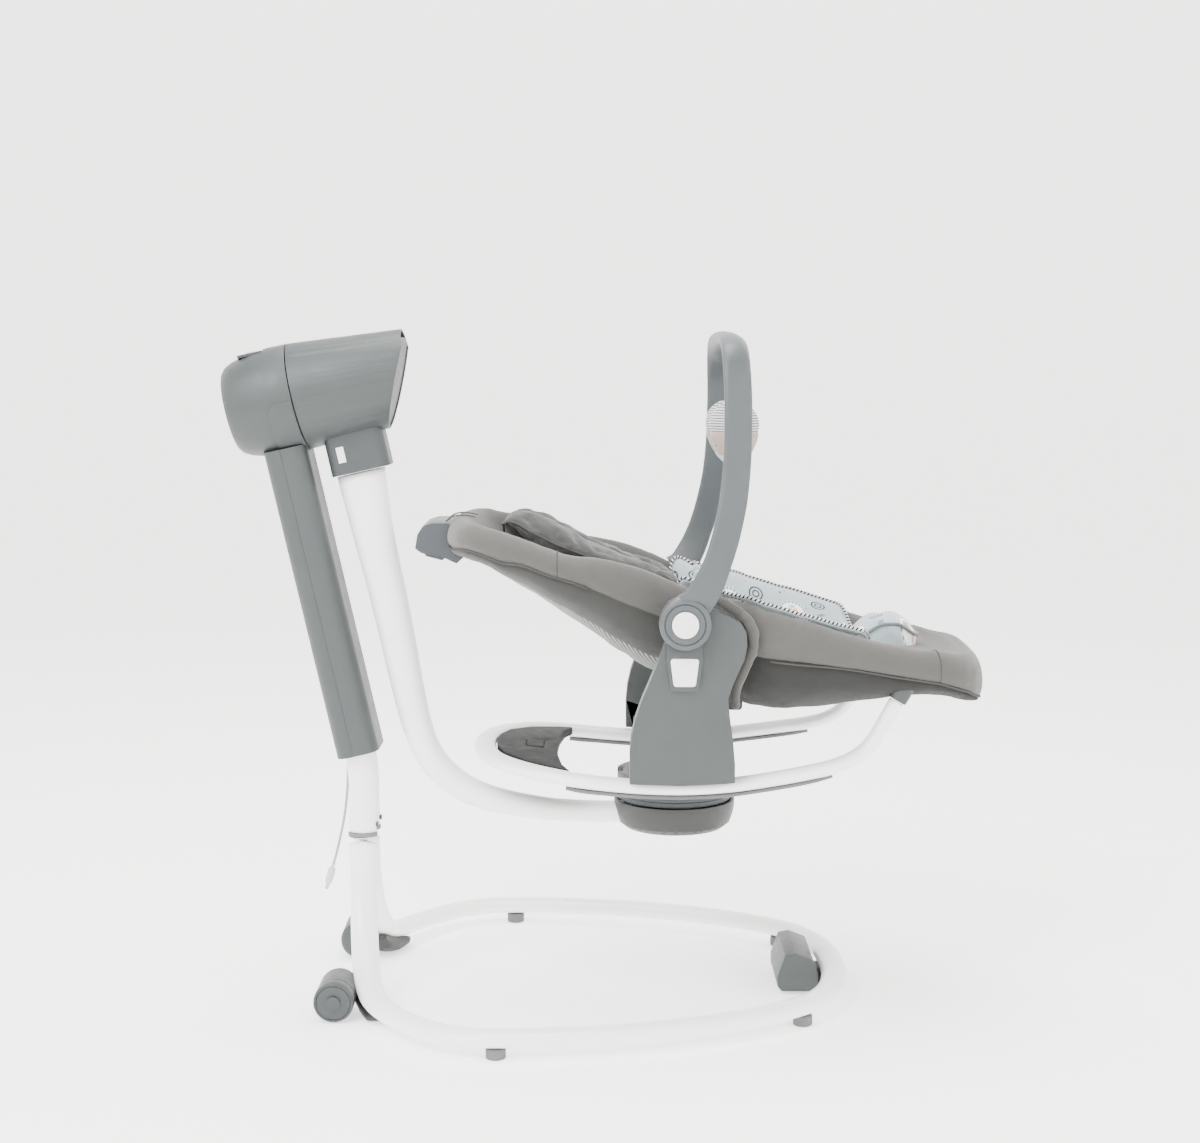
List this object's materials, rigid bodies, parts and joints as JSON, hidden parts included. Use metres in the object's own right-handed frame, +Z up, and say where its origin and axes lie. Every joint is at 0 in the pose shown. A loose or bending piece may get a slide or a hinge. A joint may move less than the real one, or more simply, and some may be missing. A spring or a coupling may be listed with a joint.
{
  "type": "baby swing",
  "caption": "Infant swing: floor ring and post with a powered head, hanging arm, turning dock and a lift-off reclining bouncer seat with toy bar.",
  "frame": {"origin": "middle of the footprint, on the floor", "axes": "+X from the post at the head end to the foot end, +Y across to the baby's left as it lies, +Z up"},
  "size_m": [1.0001, 0.627, 0.8847],
  "materials": {
    "white_tube": "satin powder coat",
    "grey_plastic": "fine moulded grain",
    "dark_plastic": "fine moulded grain",
    "white_plastic": "smooth",
    "blue_grey_plastic": "fine moulded grain",
    "rubber": "matte",
    "cord_sleeve": "smooth",
    "steel": "turned",
    "board": "coated",
    "seat_cloth": "plain weave with a soft sheen",
    "print_cloth": "printed jersey",
    "toy_cloth": "printed jersey"
  },
  "bodies": {
    "base": {"base_ring": "white_tube", "upper_leg_tubes": "white_tube", "leg_joint_rings": "grey_plastic", "leg_cover_front": "grey_plastic", "leg_cover_rear": "grey_plastic", "rear_housing": "grey_plastic", "control_panel": "dark_plastic", "control_board": "board", "motor": "steel", "axle_bearings": "steel", "wheel_housings": "grey_plastic", "wheel_axles": "dark_plastic", "feet": "rubber", "front_block": "grey_plastic", "lead_grommet": "dark_plastic", "power_lead": "cord_sleeve", "lead_connector": "white_plastic"},
    "arm": {"front_head": "grey_plastic", "face_plate": "dark_plastic", "swing_axle": "steel", "sector_gear": "dark_plastic", "arm_collar": "dark_plastic", "swing_arm": "white_tube", "dock_bowl": "grey_plastic", "dock_spindle": "steel"},
    "turntable": {"turntable": "dark_plastic"},
    "seat": {"seat_base": "grey_plastic", "bouncer_loop": "white_tube", "grip_strips": "rubber", "rear_panel": "grey_plastic", "loop_ferrules": "dark_plastic", "seat_brackets": "grey_plastic", "pivot_pins": "steel", "pan_frame": "steel", "pan_pad": "seat_cloth", "pan_insert": "print_cloth", "crotch_pad": "print_cloth", "cover_clips": "dark_plastic"},
    "back": {"back_frame": "steel", "back_pad": "seat_cloth", "back_insert": "print_cloth", "head_pillow": "seat_cloth", "recline_handle": "blue_grey_plastic"},
    "toy_bar": {"toy_bar": "grey_plastic", "boss_caps": "white_plastic"},
    "leg_button_near": {"leg_button_near": "grey_plastic"},
    "leg_button_far": {"leg_button_far": "grey_plastic"},
    "speed_button": {"speed_button": "white_plastic"},
    "timer_button": {"timer_button": "white_plastic"},
    "melody_button": {"melody_button": "white_plastic"},
    "motor_pinion": {"motor_pinion": "dark_plastic"},
    "wheel_near": {"wheel_near": "dark_plastic"},
    "wheel_far": {"wheel_far": "dark_plastic"},
    "arm_release_button": {"arm_release_button": "white_plastic"},
    "seat_release_button": {"seat_release_button": "grey_plastic"},
    "recline_lever": {"recline_lever": "dark_plastic"},
    "toy_button_near": {"toy_button_near": "white_plastic"},
    "toy_button_far": {"toy_button_far": "white_plastic"},
    "toy_near": {"toy_near": "toy_cloth"},
    "toy_far": {"toy_far": "toy_cloth"}
  },
  "joints": [
    {"name": "swing", "type": "hinge", "parent": "base", "child": "arm", "pos_m": [-0.4, 0, 0.796], "axis": [0.9759, 0, 0.2181], "range_deg": [-20, 20]},
    {"name": "pinion_spin", "type": "hinge", "parent": "base", "child": "motor_pinion", "pos_m": [-0.4096, 0, 0.83894], "axis": [0.9759, 0, 0.2181], "range_deg": [-62, 62]},
    {"name": "wheel_near_spin", "type": "hinge", "parent": "base", "child": "wheel_near", "pos_m": [-0.344, -0.16, 0.0275], "axis": [0, 1, 0], "continuous": true},
    {"name": "wheel_far_spin", "type": "hinge", "parent": "base", "child": "wheel_far", "pos_m": [-0.344, 0.16, 0.0275], "axis": [0, 1, 0], "continuous": true},
    {"name": "leg_button_near_press", "type": "slide", "parent": "base", "child": "leg_button_near", "axis": [-1, 0, 0], "range_m": [0, 0.0025], "stiffness_N_per_m": 600, "springref_m": -0.001},
    {"name": "leg_button_far_press", "type": "slide", "parent": "base", "child": "leg_button_far", "axis": [-1, 0, 0], "range_m": [0, 0.0025], "stiffness_N_per_m": 600, "springref_m": -0.001},
    {"name": "speed_press", "type": "slide", "parent": "base", "child": "speed_button", "axis": [0.2181, 0, -0.9759], "range_m": [0, 0.0015], "stiffness_N_per_m": 400, "springref_m": -0.001},
    {"name": "timer_press", "type": "slide", "parent": "base", "child": "timer_button", "axis": [0.2181, 0, -0.9759], "range_m": [0, 0.0015], "stiffness_N_per_m": 400, "springref_m": -0.001},
    {"name": "melody_press", "type": "slide", "parent": "base", "child": "melody_button", "axis": [0.2181, 0, -0.9759], "range_m": [0, 0.0015], "stiffness_N_per_m": 400, "springref_m": -0.001},
    {"name": "arm_release_press", "type": "slide", "parent": "arm", "child": "arm_release_button", "axis": [0, 1, 0], "range_m": [0, 0.002], "stiffness_N_per_m": 600, "springref_m": -0.001},
    {"name": "seat_swivel", "type": "hinge", "parent": "arm", "child": "turntable", "pos_m": [0.097, 0, 0.26], "axis": [0, 0, 1], "range_deg": [-90, 90]},
    {"name": "seat_lift_off", "type": "slide", "parent": "turntable", "child": "seat", "axis": [0, 0, 1], "range_m": [0, 0.1]},
    {"name": "seat_release_press", "type": "slide", "parent": "seat", "child": "seat_release_button", "axis": [0, 0, -1], "range_m": [0, 0.0015], "stiffness_N_per_m": 600, "springref_m": -0.001},
    {"name": "recline", "type": "hinge", "parent": "seat", "child": "back", "pos_m": [0.1015, 0, 0.523], "axis": [0, 1, 0], "range_deg": [0, 15]},
    {"name": "recline_lever_squeeze", "type": "slide", "parent": "back", "child": "recline_lever", "axis": [0, 0, 1], "range_m": [0, 0.006], "stiffness_N_per_m": 500, "springref_m": -0.001},
    {"name": "toy_bar_tilt", "type": "hinge", "parent": "seat", "child": "toy_bar", "pos_m": [0.1015, 0, 0.523], "axis": [0, 1, 0], "range_deg": [-20, 40]},
    {"name": "toy_button_near_press", "type": "slide", "parent": "seat", "child": "toy_button_near", "axis": [0, 1, 0], "range_m": [0, 0.0025], "stiffness_N_per_m": 600, "springref_m": -0.001},
    {"name": "toy_button_far_press", "type": "slide", "parent": "seat", "child": "toy_button_far", "axis": [0, -1, 0], "range_m": [0, 0.0025], "stiffness_N_per_m": 600, "springref_m": -0.001},
    {"name": "toy_near_sway", "type": "hinge", "parent": "toy_bar", "child": "toy_near", "pos_m": [0.163, -0.042, 0.869], "axis": [0, 1, 0], "range_deg": [-15, 15]},
    {"name": "toy_far_sway", "type": "hinge", "parent": "toy_bar", "child": "toy_far", "pos_m": [0.163, 0.042, 0.869], "axis": [0, 1, 0], "range_deg": [-15, 15]}
  ],
  "couplings": [
    {"joint": "pinion_spin", "follows": "swing", "ratio": -3}
  ]
}
